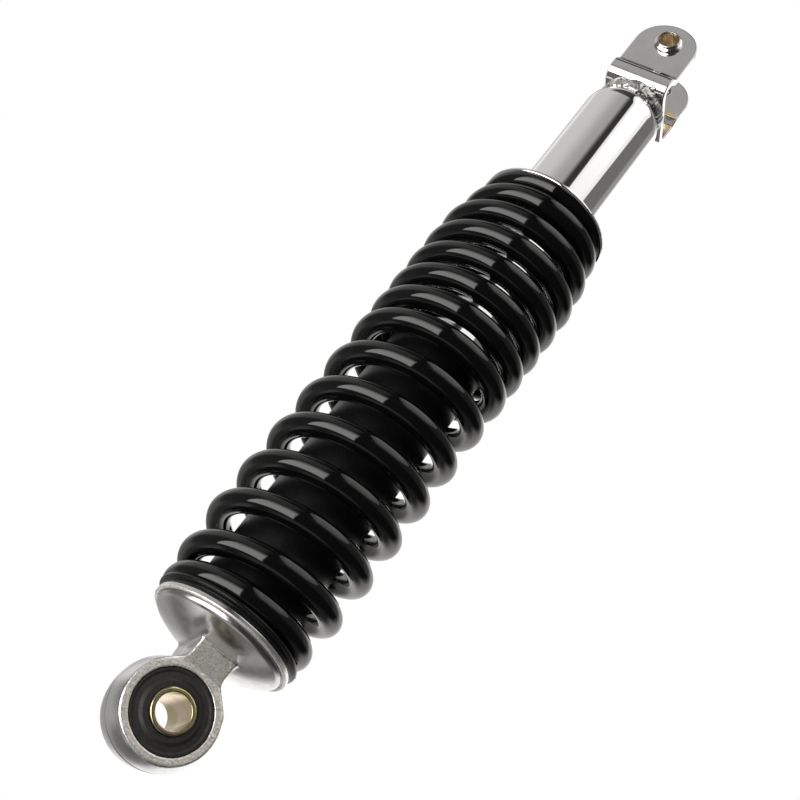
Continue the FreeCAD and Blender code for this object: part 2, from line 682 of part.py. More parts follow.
# ---------------------------------------------------------------- build
def main():
    save("eye_sleeve", eye_sleeve())
    save("eye_bush", eye_bush())
    save("upper_mount_casting", upper_mount_casting())
    save("dust_cover", dust_cover())
    save("spring_isolator", spring_isolator())
    save("rod_lock_nut", rod_lock_nut())
    save("bump_washer", ring(BUMP_STOP_R, ROD_R + ROD_CLEARANCE, WASHER_LOW, NUT_LOW))
    save("bump_stop", bump_stop())
    save("coil_spring", coil_spring())
    save("piston_rod", piston_rod())
    save("rebound_stop", ring(STOP_R, ROD_R, PISTON_HIGH, STOP_HIGH))
    save("piston", piston())
    save("piston_ring", piston_ring())
    save("piston_shims", shim_stack(SPIGOT_R, PISTON_LOW))
    save("piston_nut", piston_nut())
    save("damper_tube", damper_tube())
    save("seal_cap", ring(INSIDE_R, ROD_R + 1.0, WIPER_HIGH, CAP_HIGH))
    save("dust_wiper", ring(INSIDE_R, ROD_R + RUNNING_GAP, SEAL_HIGH, WIPER_HIGH))
    save("rod_seal", rod_seal())
    save("rod_guide", rod_guide())
    save("rod_guide_bush", ring(ROD_R + GUIDE_BUSH_WALL, ROD_R + RUNNING_GAP, GUIDE_LOW,
                                GUIDE_HIGH))
    save("pressure_tube", ring(PRESSURE_R, PRESSURE_BORE_R, FOOT_VALVE_SEAT, PRESSURE_HIGH))
    save("foot_valve_body", foot_valve_body())
    save("foot_valve_shims", shim_stack(FOOT_BOLT_R, FOOT_SHIM_HIGH))
    save("foot_valve_bolt", foot_valve_bolt())
    save("base_cap", base_cap())
    save("lower_spring_seat", lower_spring_seat())
    save("seat_retaining_ring", seat_retaining_ring())
    save("clevis_weld_bead", clevis_weld_bead())
    save("clevis_bracket", clevis_bracket())
    save("clevis_collar", clevis_collar())
    save("collar_bush", collar_bush())
    save("clevis_weld_nut", clevis_weld_nut())
    for name, solids, volume in MADE:
        print(f"{name:22s} solids {solids}  volume {volume / 1000:8.2f} cm3")
    print(len(MADE), "nodes")


main()
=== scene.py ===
import json
import math

import bmesh
import bpy
import numpy as np
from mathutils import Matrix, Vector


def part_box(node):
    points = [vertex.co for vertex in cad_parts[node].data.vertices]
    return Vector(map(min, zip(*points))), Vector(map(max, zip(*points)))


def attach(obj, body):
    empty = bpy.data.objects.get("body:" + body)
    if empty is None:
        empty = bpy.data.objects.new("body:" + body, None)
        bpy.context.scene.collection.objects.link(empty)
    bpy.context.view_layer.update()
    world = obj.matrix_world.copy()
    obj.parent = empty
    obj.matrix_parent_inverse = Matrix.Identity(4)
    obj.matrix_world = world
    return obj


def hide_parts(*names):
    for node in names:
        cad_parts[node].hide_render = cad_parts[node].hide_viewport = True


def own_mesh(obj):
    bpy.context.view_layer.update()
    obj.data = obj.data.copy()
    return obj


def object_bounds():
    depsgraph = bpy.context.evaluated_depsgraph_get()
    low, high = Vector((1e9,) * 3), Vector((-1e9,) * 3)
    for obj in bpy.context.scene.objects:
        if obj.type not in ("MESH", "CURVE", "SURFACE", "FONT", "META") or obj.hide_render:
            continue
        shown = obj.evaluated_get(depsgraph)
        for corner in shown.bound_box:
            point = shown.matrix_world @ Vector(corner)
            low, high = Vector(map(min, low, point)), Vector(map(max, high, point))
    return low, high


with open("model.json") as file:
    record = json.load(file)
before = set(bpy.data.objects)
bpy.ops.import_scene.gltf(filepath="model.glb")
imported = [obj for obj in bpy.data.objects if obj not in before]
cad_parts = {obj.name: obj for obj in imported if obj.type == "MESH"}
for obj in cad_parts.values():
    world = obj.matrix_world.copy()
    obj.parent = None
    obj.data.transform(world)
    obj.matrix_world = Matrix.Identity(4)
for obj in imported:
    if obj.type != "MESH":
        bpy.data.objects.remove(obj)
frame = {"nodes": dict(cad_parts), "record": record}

import openvdb
from mathutils import Matrix, Vector, noise

cad_low, cad_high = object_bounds()

MM = 0.001
SEGMENTS = 256                   # round a turned piece

# ---------------------------------------------------------------- places, from the frame
mounts = {m["name"]: m for m in frame["record"]["mounts"]}
eye_axis = Vector(mounts["eye_bore"]["axis"]).normalized()
eye_across = eye_axis.cross(Vector((0, 0, 1)))
bore_z = mounts["collar_bore"]["pos_m"][2] / MM


def extents(node):
    """A node's lowest and highest height, in millimetres."""
    low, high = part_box(node)
    return low.z / MM, high.z / MM


def radius_of(node):
    """The largest radius of a node that is turned about the shock's axis, in millimetres."""
    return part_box(node)[1].x / MM


# ---------------------------------------------------------------- camera and stage
CAMERA_PLACE = (-0.18354, -0.41796, 0.12181)
CAMERA_FORWARD = (0.3573, 0.8081, -0.4684)
CAMERA_UP = (0.4111, -0.5864, -0.6980)       # the clevis points up and to the right
LENS = 76.99
STAGE_HALF = 12.0                            # in metres, as the next two are
BACKDROP_R = 11.0
FLOOR_GAP = 0.02


def make_camera():
    forward = Vector(CAMERA_FORWARD).normalized()
    right = forward.cross(Vector(CAMERA_UP)).normalized()
    up = right.cross(forward)
    data = bpy.data.cameras.new("camera")
    data.sensor_width = 36
    data.lens = LENS
    data.clip_end = 100
    camera = bpy.data.objects.new("camera", data)
    turn = Matrix((right, up, -forward)).transposed().to_4x4()
    camera.matrix_world = Matrix.Translation(CAMERA_PLACE) @ turn
    bpy.context.scene.collection.objects.link(camera)
    bpy.context.scene.camera = camera


def stage_object(name, mesh):
    """A plain white surface that only the camera sees, so that it doesn't light the part."""
    stage = bpy.data.objects.new(name, mesh)
    bpy.context.scene.collection.objects.link(stage)
    material = bpy.data.materials.new(name + "_white")
    material.use_nodes = True
    tree = material.node_tree
    tree.nodes.clear()
    glow = tree.nodes.new("ShaderNodeEmission")
    glow.inputs["Color"].default_value = (1, 1, 1, 1)
    out = tree.nodes.new("ShaderNodeOutputMaterial")
    tree.links.new(glow.outputs[0], out.inputs[0])
    mesh.materials.append(material)
    for ray in ("glossy", "diffuse", "shadow", "transmission"):
        setattr(stage, "visible_" + ray, False)


def make_floor():
    half = STAGE_HALF
    low = cad_low[2] - FLOOR_GAP
    mesh = bpy.data.meshes.new("floor")
    corners = [(-half, -half, low), (half, -half, low), (half, half, low), (-half, half, low)]
    mesh.from_pydata(corners, [], [(0, 1, 2, 3)])
    stage_object("floor", mesh)


def make_backdrop():
    mesh = bpy.data.meshes.new("backdrop")
    shell = bmesh.new()
    bmesh.ops.create_uvsphere(shell, u_segments=48, v_segments=24, radius=BACKDROP_R)
    shell.to_mesh(mesh)
    shell.free()
    stage_object("backdrop", mesh)


AMBIENT = 0.038


class Studio:
    """The light as brightness by compass direction and elevation, both in degrees.

    Directions count from +X towards +Y, and elevations up from the horizon."""

    def __init__(self):
        world = bpy.data.worlds.new("studio")
        bpy.context.scene.world = world
        world.use_nodes = True
        self.tree = world.node_tree
        self.tree.nodes.clear()
        place = self.tree.nodes.new("ShaderNodeTexCoord")
        split = self.tree.nodes.new("ShaderNodeSeparateXYZ")
        self.tree.links.new(place.outputs["Generated"], split.inputs[0])
        turn = self.math("ARCTAN2", split.outputs["Y"], split.outputs["X"])
        turn = self.math("FRACT", self.math("DIVIDE", turn, 2 * math.pi))
        self.direction = self.math("MULTIPLY", turn, 360.0)
        rise = self.math("ARCSINE", split.outputs["Z"])
        self.elevation = self.math("MULTIPLY", rise, 180.0 / math.pi)
        self.light = self.math("ADD", AMBIENT, 0.0)

    def math(self, operation, first, second=None):
        node = self.tree.nodes.new("ShaderNodeMath")
        node.operation = operation
        for socket, value in zip(node.inputs, (first, second)):
            if isinstance(value, (int, float)):
                socket.default_value = value
            elif value is not None:
                self.tree.links.new(value, socket)
        return node.outputs[0]

    def edge(self, value, start, end):
        """0 before start and 1 after end. With start above end it falls instead."""
        node = self.tree.nodes.new("ShaderNodeMapRange")
        node.interpolation_type = "SMOOTHSTEP"
        rising = start < end
        node.inputs["From Min"].default_value = min(start, end)
        node.inputs["From Max"].default_value = max(start, end)
        node.inputs["To Min"].default_value = 0.0 if rising else 1.0
        node.inputs["To Max"].default_value = 1.0 if rising else 0.0
        self.tree.links.new(value, node.inputs["Value"])
        return node.outputs["Result"]

    def product(self, *factors):
        result = factors[0]
        for factor in factors[1:]:
            result = self.math("MULTIPLY", result, factor)
        return result

    def mask(self, start, end, low=None, high=None, soft=6.0, fade=(6.0, 6.0), lean=(0, 0),
             pivot=0, tilt=0.0):
        """1 between two directions and two elevations.

        The sides may lean with elevation, and the top edge may tilt with direction."""
        middle = (start + end) / 2
        turned_by = self.math("ADD", self.direction, 180.0 - middle)
        offset = self.math("SUBTRACT", self.math("FLOORED_MODULO", turned_by, 360.0), 180.0)
        above = self.math("SUBTRACT", self.elevation, pivot)
        factors = []
        for side, way, slope in ((start - middle, -1, lean[0]), (end - middle, 1, lean[1])):
            place = self.math("ADD", offset, self.math("MULTIPLY", above, slope))
            factors.append(self.edge(place, side + way * soft / 2, side - way * soft / 2))
        if low is not None:
            below, above = low - fade[0] / 2, low + fade[0] / 2
            factors.append(self.edge(self.elevation, below, above))
        if high is not None:
            height = self.math("ADD", self.elevation, self.math("MULTIPLY", offset, tilt))
            below, above = high - fade[1] / 2, high + fade[1] / 2
            factors.append(self.edge(height, above, below))
        return self.product(*factors)

    def panel(self, strength, *place, **shape):
        """Add a lit panel."""
        self.light = self.math("ADD", self.light,
                               self.math("MULTIPLY", self.mask(*place, **shape), strength))

    def shade(self, share, *place, **shape):
        """Take away a share of the light there."""
        kept = self.math("SUBTRACT", 1.0,
                         self.math("MULTIPLY", self.mask(*place, **shape), share))
        self.light = self.math("MULTIPLY", self.light, kept)


def make_studio():
    """Two softboxes with a dark gap between them, in a dim room with a pale background.

    A panel's first three numbers are its brightness and its two sides' directions."""
    studio = Studio()
    # room
    studio.panel(0.37, 269, 400, high=-12, soft=16, fade=(0, 14))             # side wall
    studio.panel(0.26, 306, 392, high=-12, soft=54, fade=(0, 14))
    studio.panel(0.13, 300, 390, low=-12, high=60, soft=24, fade=(14, 14))    # above it
    studio.panel(0.14, 108, 247, high=-12, soft=12, fade=(0, 14))             # other side
    studio.panel(0.16, 108, 146, high=-14, soft=10, fade=(0, 12))
    studio.panel(0.36, 16, 62, low=-44, high=26, soft=18, fade=(14, 16))      # background
    studio.panel(1.20, 62, 122, low=-48, high=22, soft=20, fade=(16, 16))
    studio.panel(0.50, 52, 92, low=-50, high=-14, soft=18, fade=(14, 16))
    studio.shade(0.88, 262, 345, high=-51, soft=10, fade=(0, 6))              # dark floor
    # boxes
    studio.panel(4.3, 261, 308, low=2, high=50, soft=3, fade=(32, 6), lean=(0, -0.78),
                 tilt=0.28)
    studio.panel(0.88, 198, 243.5, high=-24, soft=3, fade=(0, 4), lean=(-1.15, 0.6),
                 pivot=-32)
    studio.panel(0.4, 200, 241, high=-40, soft=6, fade=(0, 12), lean=(-0.9, 0.5), pivot=-40)
    # overhead
    studio.panel(0.12, 0, 140, low=22, soft=30, fade=(20, 0))
    studio.panel(0.3, 345, 408, low=46, high=60, soft=14, fade=(8, 8))
    studio.panel(0.3, 84, 112, low=42, high=60, soft=10, fade=(8, 8))
    studio.panel(0.8, 15, 38, low=56, high=72, soft=5, fade=(5, 5))
    studio.panel(0.4, 140, 330, low=64, soft=24, fade=(16, 0))
    light = studio.tree.nodes.new("ShaderNodeBackground")
    light.inputs["Color"].default_value = (1.0, 0.985, 0.96, 1)
    studio.tree.links.new(studio.light, light.inputs["Strength"])
    out = studio.tree.nodes.new("ShaderNodeOutputWorld")
    studio.tree.links.new(light.outputs[0], out.inputs[0])


# ---------------------------------------------------------------- materials
class Surface:
    """A Principled material with small helpers for its procedural layers."""

    def __init__(self, name, color, metallic, roughness, **sockets):
        self.material = bpy.data.materials.new(name)
        self.material.use_nodes = True
        self.tree = self.material.node_tree
        self.shader = self.tree.nodes["Principled BSDF"]
        self.shader.inputs["Base Color"].default_value = (*color, 1)
        self.shader.inputs["Metallic"].default_value = metallic
        self.shader.inputs["Roughness"].default_value = roughness
        for key, value in sockets.items():
            self.shader.inputs[key.replace("_", " ")].default_value = value
        self.place = self.tree.nodes.new("ShaderNodeTexCoord").outputs["Object"]
        self.height = None

    def noise(self, size, detail=3.0, stretch=(1, 1, 1)):
        """Noise whose grains are about size metres across."""
        mapping = self.tree.nodes.new("ShaderNodeMapping")
        mapping.inputs["Scale"].default_value = [s / size for s in stretch]
        self.tree.links.new(self.place, mapping.inputs["Vector"])
        grain = self.tree.nodes.new("ShaderNodeTexNoise")
        grain.inputs["Scale"].default_value = 1.0
        grain.inputs["Detail"].default_value = detail
        self.tree.links.new(mapping.outputs[0], grain.inputs["Vector"])
        return grain.outputs["Fac"]

    def spread(self, value, low, high):
        """Map a noise value's middle range onto low to high."""
        ramp = self.tree.nodes.new("ShaderNodeMapRange")
        ramp.inputs["From Min"].default_value = 0.35
        ramp.inputs["From Max"].default_value = 0.65
        ramp.inputs["To Min"].default_value = low
        ramp.inputs["To Max"].default_value = high
        self.tree.links.new(value, ramp.inputs["Value"])
        return ramp.outputs["Result"]

    def vary_roughness(self, value, low, high):
        self.tree.links.new(self.spread(value, low, high), self.shader.inputs["Roughness"])

    def vary_color(self, value, first, second):
        mix = self.tree.nodes.new("ShaderNodeMix")
        mix.data_type = "RGBA"
        mix.inputs["A"].default_value = (*first, 1)
        mix.inputs["B"].default_value = (*second, 1)
        self.tree.links.new(self.spread(value, 0, 1), mix.inputs["Factor"])
        self.tree.links.new(mix.outputs["Result"], self.shader.inputs["Base Color"])

    def bump(self, value, depth):
        """Add a relief of about depth metres."""
        relief = self.tree.nodes.new("ShaderNodeBump")
        relief.inputs["Distance"].default_value = depth
        self.tree.links.new(value, relief.inputs["Height"])
        if self.height is not None:
            self.tree.links.new(self.height, relief.inputs["Normal"])
        self.height = relief.outputs["Normal"]
        self.tree.links.new(self.height, self.shader.inputs["Normal"])


def chrome():
    s = Surface("chrome", (0.82, 0.82, 0.825), 1.0, 0.02)
    s.vary_roughness(s.noise(4 * MM, 4), 0.012, 0.035)
    s.bump(s.noise(9 * MM, 2), 0.004 * MM)
    return s.material


def bracket_chrome():
    s = Surface("bracket_chrome", (0.70, 0.69, 0.69), 1.0, 0.12)
    s.vary_color(s.noise(7 * MM, 4), (0.70, 0.685, 0.68), (0.74, 0.735, 0.74))
    s.vary_roughness(s.noise(2.4 * MM, 4), 0.09, 0.15)
    s.bump(s.noise(0.8 * MM, 2), 0.002 * MM)
    return s.material


def polished_casting():
    s = Surface("polished_casting", (0.65, 0.645, 0.645), 1.0, 0.22)
    s.vary_roughness(s.noise(2 * MM, 5), 0.18, 0.27)
    s.bump(s.noise(2.8 * MM, 5), 0.03 * MM)
    return s.material


def rough_casting():
    s = Surface("rough_casting", (0.92, 0.88, 0.82), 0.72, 0.34)
    s.vary_color(s.noise(0.9 * MM, 5), (0.80, 0.75, 0.69), (0.98, 0.96, 0.91))
    s.vary_roughness(s.noise(0.5 * MM, 4), 0.26, 0.44)
    s.bump(s.noise(0.6 * MM, 6), 0.11 * MM)
    return s.material


def plated_weld():
    s = Surface("plated_weld", (0.5, 0.49, 0.48), 1.0, 0.32)
    s.vary_color(s.noise(1.6 * MM, 5), (0.38, 0.37, 0.36), (0.66, 0.65, 0.63))
    s.vary_roughness(s.noise(1.2 * MM, 4), 0.24, 0.42)
    s.bump(s.noise(1.0 * MM, 3), 0.03 * MM)
    return s.material


def black_enamel():
    s = Surface("black_enamel", (0.003, 0.003, 0.0032), 0.0, 0.05)
    s.vary_roughness(s.noise(3 * MM, 4), 0.03, 0.07)
    s.bump(s.noise(2.2 * MM, 2), 0.005 * MM)
    return s.material


def satin_plastic():
    s = Surface("satin_plastic", (0.004, 0.004, 0.0045), 0.0, 0.35, Specular_IOR_Level=0.35)
    s.vary_roughness(s.noise(0.8 * MM, 4), 0.3, 0.42)
    s.bump(s.noise(0.4 * MM, 3), 0.01 * MM)
    return s.material


def moulded_rubber():
    s = Surface("moulded_rubber", (0.004, 0.004, 0.004), 0.0, 0.25, Specular_IOR_Level=0.35)
    s.vary_roughness(s.noise(2 * MM, 4), 0.2, 0.33)
    s.bump(s.noise(0.8 * MM, 3), 0.006 * MM)
    return s.material


def rubber():
    s = Surface("rubber", (0.017, 0.016, 0.015), 0.0, 0.55)
    s.vary_color(s.noise(1.5 * MM, 5), (0.013, 0.012, 0.011), (0.022, 0.021, 0.019))
    s.vary_roughness(s.noise(0.6 * MM, 4), 0.45, 0.68)
    s.bump(s.noise(0.3 * MM, 4), 0.02 * MM)
    return s.material


def yellow_zinc(name="yellow_zinc", smoothest=0.13):
    s = Surface(name, (0.76, 0.63, 0.37), 1.0, smoothest + 0.07)
    s.vary_color(s.noise(6 * MM, 1), (0.60, 0.55, 0.27), (0.84, 0.62, 0.50))
    s.vary_roughness(s.noise(1.5 * MM, 4), smoothest, smoothest + 0.12)
    s.bump(s.noise(1.2 * MM, 2), 0.003 * MM)
    return s.material


def machined_steel():
    s = Surface("machined_steel", (0.56, 0.55, 0.54), 1.0, 0.3)
    s.vary_roughness(s.noise(0.7 * MM, 4, (0.1, 0.1, 1)), 0.22, 0.42)
    s.bump(s.noise(0.25 * MM, 2, (0.05, 0.05, 1)), 0.006 * MM)
    return s.material


def sintered_bronze():
    s = Surface("sintered_bronze", (0.55, 0.36, 0.15), 1.0, 0.4)
    s.vary_color(s.noise(0.6 * MM, 5), (0.42, 0.27, 0.12), (0.62, 0.42, 0.18))
    s.bump(s.noise(0.2 * MM, 3), 0.01 * MM)
    return s.material


# ---------------------------------------------------------------- mesh helpers
def to_world(points, across, along, up, origin=(0, 0, 0)):
    """Points in millimetres in a part's own axes, as metres in the frame."""
    axes = np.array([across, along, up], float)
    return (np.asarray(points, float) @ axes + np.asarray(origin, float)) * MM


EYE = (tuple(eye_across), tuple(eye_axis), (0, 0, 1))
UPRIGHT = ((1, 0, 0), (0, 1, 0), (0, 0, 1))
ON_EYE = (tuple(eye_across), (0, 0, 1), tuple(eye_axis))       # turned about the eye's axis
ON_BOLT = ((1, 0, 0), (0, 0, 1), (0, 1, 0))                    # turned about the clevis bolt


def make_piece(name, body, points, faces, *materials, replaces=(), slot=None, which=None):
    """A new visible piece that rides a body and stands for CAD nodes."""
    mesh = bpy.data.meshes.new(name)
    mesh.from_pydata([tuple(p) for p in points], [], [tuple(f) for f in faces])
    work = bmesh.new()
    work.from_mesh(mesh)
    bmesh.ops.remove_doubles(work, verts=work.verts, dist=1e-7)
    bmesh.ops.recalc_face_normals(work, faces=work.faces)
    work.to_mesh(mesh)
    work.free()
    for material in materials:
        mesh.materials.append(material)
    if which is not None:
        for face in mesh.polygons:
            face.material_index = which(face.center / MM, face.normal)
    mesh.shade_smooth()
    piece = bpy.data.objects.new(name, mesh)
    bpy.context.scene.collection.objects.link(piece)
    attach(piece, body)
    if replaces:
        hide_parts(*replaces)
    return piece


def rounded(corners, steps=6, support=0.12):
    """Closed outline from (radius, height, rounding) corners, with each corner an arc."""
    outline = []
    count = len(corners)
    for k, (r, z, rounding) in enumerate(corners):
        here = Vector((r, z))
        before = Vector(corners[k - 1][:2]) - here
        after = Vector(corners[(k + 1) % count][:2]) - here
        half = before.angle(after) / 2
        if rounding <= 0 or half > math.radians(88):
            outline.append(here)
            continue
        reach = rounding / math.tan(half)
        reach = min(reach, 0.49 * before.length, 0.49 * after.length)
        arm = reach * math.tan(half)
        into = (before.normalized() + after.normalized()).normalized()
        centre = here + into * math.hypot(reach, arm)
        start = here + before.normalized() * reach
        end = here + after.normalized() * reach
        outline.append(start + before.normalized() * support)
        sweep = (start - centre).angle_signed(end - centre)
        for step in range(steps + 1):
            outline.append(centre + Matrix.Rotation(-sweep * step / steps, 2)
                           @ (start - centre))
        outline.append(end + after.normalized() * support)
    return outline


def turned(corners, axes, origin=(0, 0, 0), span=2 * math.pi, start=0.0):
    """Points and faces of an outline turned about the third of the axes."""
    outline = rounded(corners)
    full = span > 2 * math.pi - 1e-6
    rings = SEGMENTS if full else int(SEGMENTS * span / (2 * math.pi))
    points = []
    for ring in range(rings if full else rings + 1):
        angle = start + span * ring / rings
        points += [(p.x * math.cos(angle), p.x * math.sin(angle), p.y) for p in outline]
    size = len(outline)
    faces = []
    for ring in range(rings):
        here = ring * size
        there = ((ring + 1) % rings if full else ring + 1) * size
        for k in range(size):
            n = (k + 1) % size
            faces.append((here + k, here + n, there + n, there + k))
    if not full:
        faces.append(tuple(range(size)))
        faces.append(tuple(rings * size + k for k in reversed(range(size))))
    return to_world(points, *axes, origin), faces


def round_max(a, b, radius):
    """Intersection of two distance fields, with its edge rounded."""
    larger = np.maximum(a, b)
    corner = np.hypot(np.maximum(a + radius, 0), np.maximum(b + radius, 0)) - radius
    return np.where(larger < -radius, larger, corner)


def smooth_min(a, b, blend):
    """Union of two distance fields, with a fillet between them."""
    share = np.clip(0.5 + 0.5 * (b - a) / blend, 0, 1)
    return b + (a - b) * share - blend * share * (1 - share)


def grid_axes(low, high, cell):
    """Coordinates of a block of cells, ready to combine by broadcasting."""
    lines = [np.arange(a, b + cell, cell) for a, b in zip(low, high)]
    return lines[0][:, None, None], lines[1][None, :, None], lines[2][None, None, :]


def relaxed(points, faces, rounds=4):
    """Even out the small steps a grid leaves, without shrinking the shape."""
    edges = np.concatenate([faces[:, [k, (k + 1) % 4]] for k in range(4)]).astype(np.int64)
    edges = np.concatenate([edges, edges[:, ::-1]])
    near, far = edges[:, 0], edges[:, 1]
    count = np.bincount(near, minlength=len(points))[:, None]
    for share in (0.5, -0.53) * rounds:
        total = [np.bincount(near, points[far, axis], len(points)) for axis in range(3)]
        points = points + share * (np.stack(total, axis=1) / count - points)
    return points


def surface_of(field, low, cell):
    """Mesh of a distance field, which is negative inside."""
    band = 3 * cell
    grid = openvdb.FloatGrid(band)
    grid.copyFromArray(np.clip(field, -band, band).astype(np.float32))
    points, faces = grid.convertToQuads()
    return relaxed(points * cell + np.array(low), faces), faces


def joined(first, second):
    """Points and faces of two closed meshes as one."""
    points, faces = first
    more_points, more_faces = second
    shift = len(points)
    return (np.concatenate([points, more_points]),
            [tuple(f) for f in faces] + [tuple(k + shift for k in f) for f in more_faces])


def roughen(points, chosen, size, depth):
    """Push chosen points about by smooth noise, as a cast surface is."""
    noise.seed_set(1)            # noise_vector starts from the clock unless it is seeded
    moved = np.array(points, float)
    for k in np.nonzero(chosen)[0]:
        moved[k] += np.array(noise.noise_vector(Vector(moved[k]) / size)) * depth
    return moved


# ---------------------------------------------------------------- finishes
DULL_ZINC = yellow_zinc("dull_zinc", 0.34)
FINISH = {
    "yellow_zinc": yellow_zinc(),
    "rubber": rubber(),
    "cast_aluminium": polished_casting(),
    "cover_plastic": satin_plastic(),
    "black_enamel": black_enamel(),
    "plain_steel": machined_steel(),
    "hard_chrome": chrome(),
    "chrome_bracket": bracket_chrome(),
    "weld": plated_weld(),
    "bronze": sintered_bronze(),
}
FINISH["chrome"] = FINISH["hard_chrome"]
ROUGH_CASTING = rough_casting()
MOULDED_RUBBER = moulded_rubber()

SLOT_OF = {p["node"]: p["material_slot"] for p in frame["record"]["subparts"]}


def dress_cad_nodes():
    """Every CAD node gets the finish of its slot."""
    for name, node in frame["nodes"].items():
        node.data.materials.clear()
        node.data.materials.append(FINISH[SLOT_OF[name]])


def finish_turned(node, body, corners, axes=UPRIGHT, origin=(0, 0, 0), material=None, **cut):
    """A turned piece with rounded edges, in place of its CAD node."""
    points, faces = turned(corners, axes, origin, **cut)
    return make_piece(node + "_finished", body, points, faces,
                      material or FINISH[SLOT_OF[node]], replaces=[node], slot=SLOT_OF[node])


# ---------------------------------------------------------------- upper eye
EYE_R = 15.7                     # at the parting line, halfway along the bore
EYE_HALF = 8.8
EYE_DRAFT = 1.25                 # the eye is this much smaller in radius at its faces
SEAM_HEIGHT = 0.16
SEAM_HALF = 0.3
BUSH_R = 12.0
BUSH_HALF = 8.3
SLEEVE_R = 6.5
NECK_HALF = 6.14
NECK_FLARE = 5.6
NECK_TOP = 7.5                   # below the eye's middle
NECK_FOOT_DEPTH = 10.0
NECK_FILLET = 1.3
FLANGE_LOW = extents("upper_mount_casting")[0]
RIM_R = 22.3
RIM_HEIGHT = 1.8
DOME_R = 21.0
DOME_TOP = 19.4                  # below the eye's middle
BALL_R = 40.9
SPLIT_R = 15.0                   # the turned rim starts here
ROD_HOLE_R = 5.0
ROD_HOLE_TOP = -17.6


def eye_sleeve():
    bore_r = mounts["eye_bore"]["dims"]["r_mm"]
    half = mounts["eye_bore"]["dims"]["length_mm"] / 2
    corners = [(bore_r, -half, 0.25), (SLEEVE_R, -half, 0.45), (SLEEVE_R, half, 0.45),
               (bore_r, half, 0.25)]
    finish_turned("eye_sleeve", "sleeve", corners, ON_EYE)


def eye_bush():
    """Rubber bush: a lip round the sleeve, a shallow dish, and a rounded outer edge."""
    inner = SLEEVE_R + 0.05
    face = [(inner, 0.62, 0.2), (8.2, 0.66, 0.45), (9.1, -0.05, 0.5), (10.6, -0.25, 0.3),
            (11.25, 0.1, 0.3), (BUSH_R - 0.02, -0.1, 0.35)]
    corners = [(r, -BUSH_HALF - rise, c) for r, rise, c in face]
    corners += [(r, BUSH_HALF + rise, c) for r, rise, c in reversed(face)]
    finish_turned("eye_bush", "upper_mount", corners, ON_EYE)


def dome_height(r):
    """Height of the flange's domed top at a radius."""
    return np.sqrt(BALL_R ** 2 - r ** 2) - DOME_TOP - BALL_R


def casting_field(u, v, z):
    """Distance to the casting: u across the eye, v along its bore, z up."""
    rho = np.hypot(u, z)
    # the eye's outside is fullest at the parting line, and has a thin seam there
    seam = np.exp(-(v / SEAM_HALF) ** 2)
    outside = EYE_R - EYE_DRAFT * (np.abs(v) / EYE_HALF) ** 1.7 + SEAM_HEIGHT * seam
    barrel = rho - outside
    # the neck flares out where it meets the eye, and gets deeper towards its foot
    flare = np.clip((z + 16.5) / 8.5, 0, 1)
    neck = np.abs(u) - (NECK_HALF + NECK_FLARE * flare ** 2) - 0.1 * seam
    neck = np.maximum(neck / (1 + 0.6 * flare), z + NECK_TOP)
    towards_foot = np.clip((-13.5 - z) / 7.0, 0, 1)
    depth = EYE_HALF + (NECK_FOOT_DEPTH - EYE_HALF) * towards_foot
    body = round_max(smooth_min(barrel, neck, 1.6), np.abs(v) - depth, 0.65)
    body = round_max(body, BUSH_R - rho, 0.25)

    # the dome sinks under the turned rim, which carries its outer part
    r = np.hypot(u, v)
    sink = 0.02 * np.clip(r - SPLIT_R, 0, None) ** 2
    ball = np.sqrt(r ** 2 + (z + DOME_TOP + BALL_R) ** 2) - BALL_R + sink
    dome = round_max(round_max(ball, r - DOME_R + 0.6, 0.9), FLANGE_LOW + 0.4 - z, 0.2)
    whole = smooth_min(body, dome, NECK_FILLET)
    rod_cut = np.where(z < ROD_HOLE_TOP, ROD_HOLE_R - r, -1.0)
    return np.maximum(np.maximum(whole, rod_cut), BUSH_R - rho)


def casting_rim():
    """Outer part of the flange: domed top, a groove, and a rounded rim."""
    rim_top = FLANGE_LOW + RIM_HEIGHT
    groove = rim_top - 0.35
    dome_edge = DOME_R - 0.1
    corners = [(ROD_HOLE_R + 1, FLANGE_LOW, 0.1), (RIM_R, FLANGE_LOW, 0.4),
               (RIM_R, rim_top, 0.45), (DOME_R + 0.45, rim_top, 0.3),
               (DOME_R + 0.25, groove, 0.1), (dome_edge, groove, 0.1)]
    # round the dome's edge off, then run in under the cast surface
    edge_r = 1.1
    steepest = math.radians(78)
    steps = 20
    for k in range(steps + 1):
        angle = steepest * (steps - k) / steps
        r = dome_edge - edge_r * (math.sin(steepest) - math.sin(angle))
        corners.append((r, float(dome_height(r)) - edge_r * (1 - math.cos(angle)), 0))
    start = corners[-1][0]
    inner_edge = SPLIT_R - 0.6
    for k in range(1, steps + 1):
        r = start + (inner_edge - start) * k / steps
        inner_dip = 0.01 * max(0.0, SPLIT_R + 1.4 - r) ** 2
        corners.append((r, float(dome_height(r)) - inner_dip, 0))
    corners.append((inner_edge, FLANGE_LOW + 2.0, 0))
    corners.append((ROD_HOLE_R + 1, FLANGE_LOW + 1.0, 0.1))
    return turned(corners, UPRIGHT)


def is_rough(centre, normal):
    """Whether a face is left as cast: those across the bore's axis, and the flange's rim."""
    on_rim = math.hypot(centre.x, centre.y) > DOME_R + 0.5 and centre.z > FLANGE_LOW + 0.9
    across_bore = abs(normal.dot(eye_axis)) > 0.8 and centre.z > -20.6
    return 1 if across_bore or on_rim else 0


